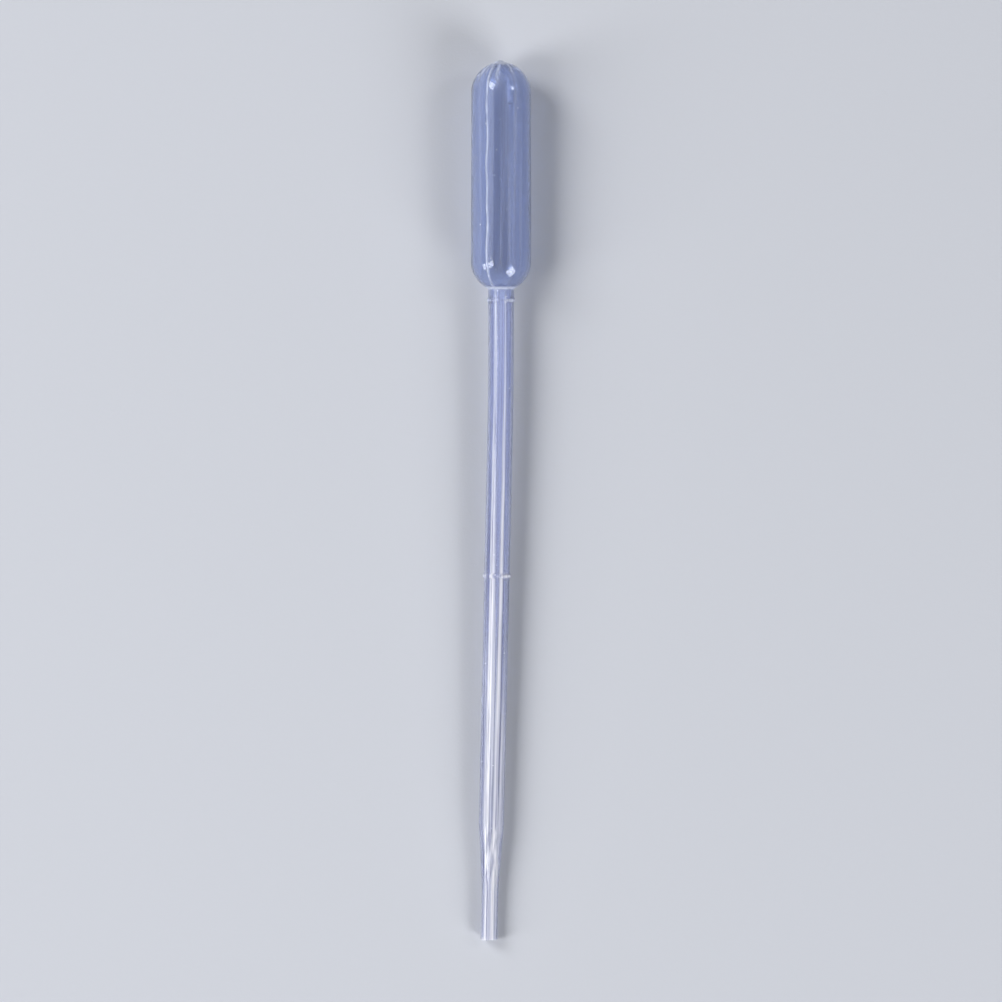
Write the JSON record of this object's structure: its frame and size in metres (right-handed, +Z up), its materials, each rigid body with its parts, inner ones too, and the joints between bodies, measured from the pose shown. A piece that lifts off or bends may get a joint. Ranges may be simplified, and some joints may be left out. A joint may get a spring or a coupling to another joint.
{
  "type": "plastic dropper pipette",
  "caption": "Moulded soft plastic dropper pipette with a long squeeze bulb, a slender stem with raised volume rings and a narrow cut tip, lying on its side.",
  "frame": {"origin": "on the table, under the middle of the outline", "axes": "+Y along the pipette towards the bulb, +Z up from the table it lies on, +X to the right with the bulb away from the viewer"},
  "size_m": [0.0104, 0.1502, 0.0111],
  "materials": {
    "milky_polyethylene": "translucent, semi-gloss, faintly streaked along its length"
  },
  "bodies": {
    "root": {"pipette": "milky_polyethylene"}
  },
  "joints": []
}
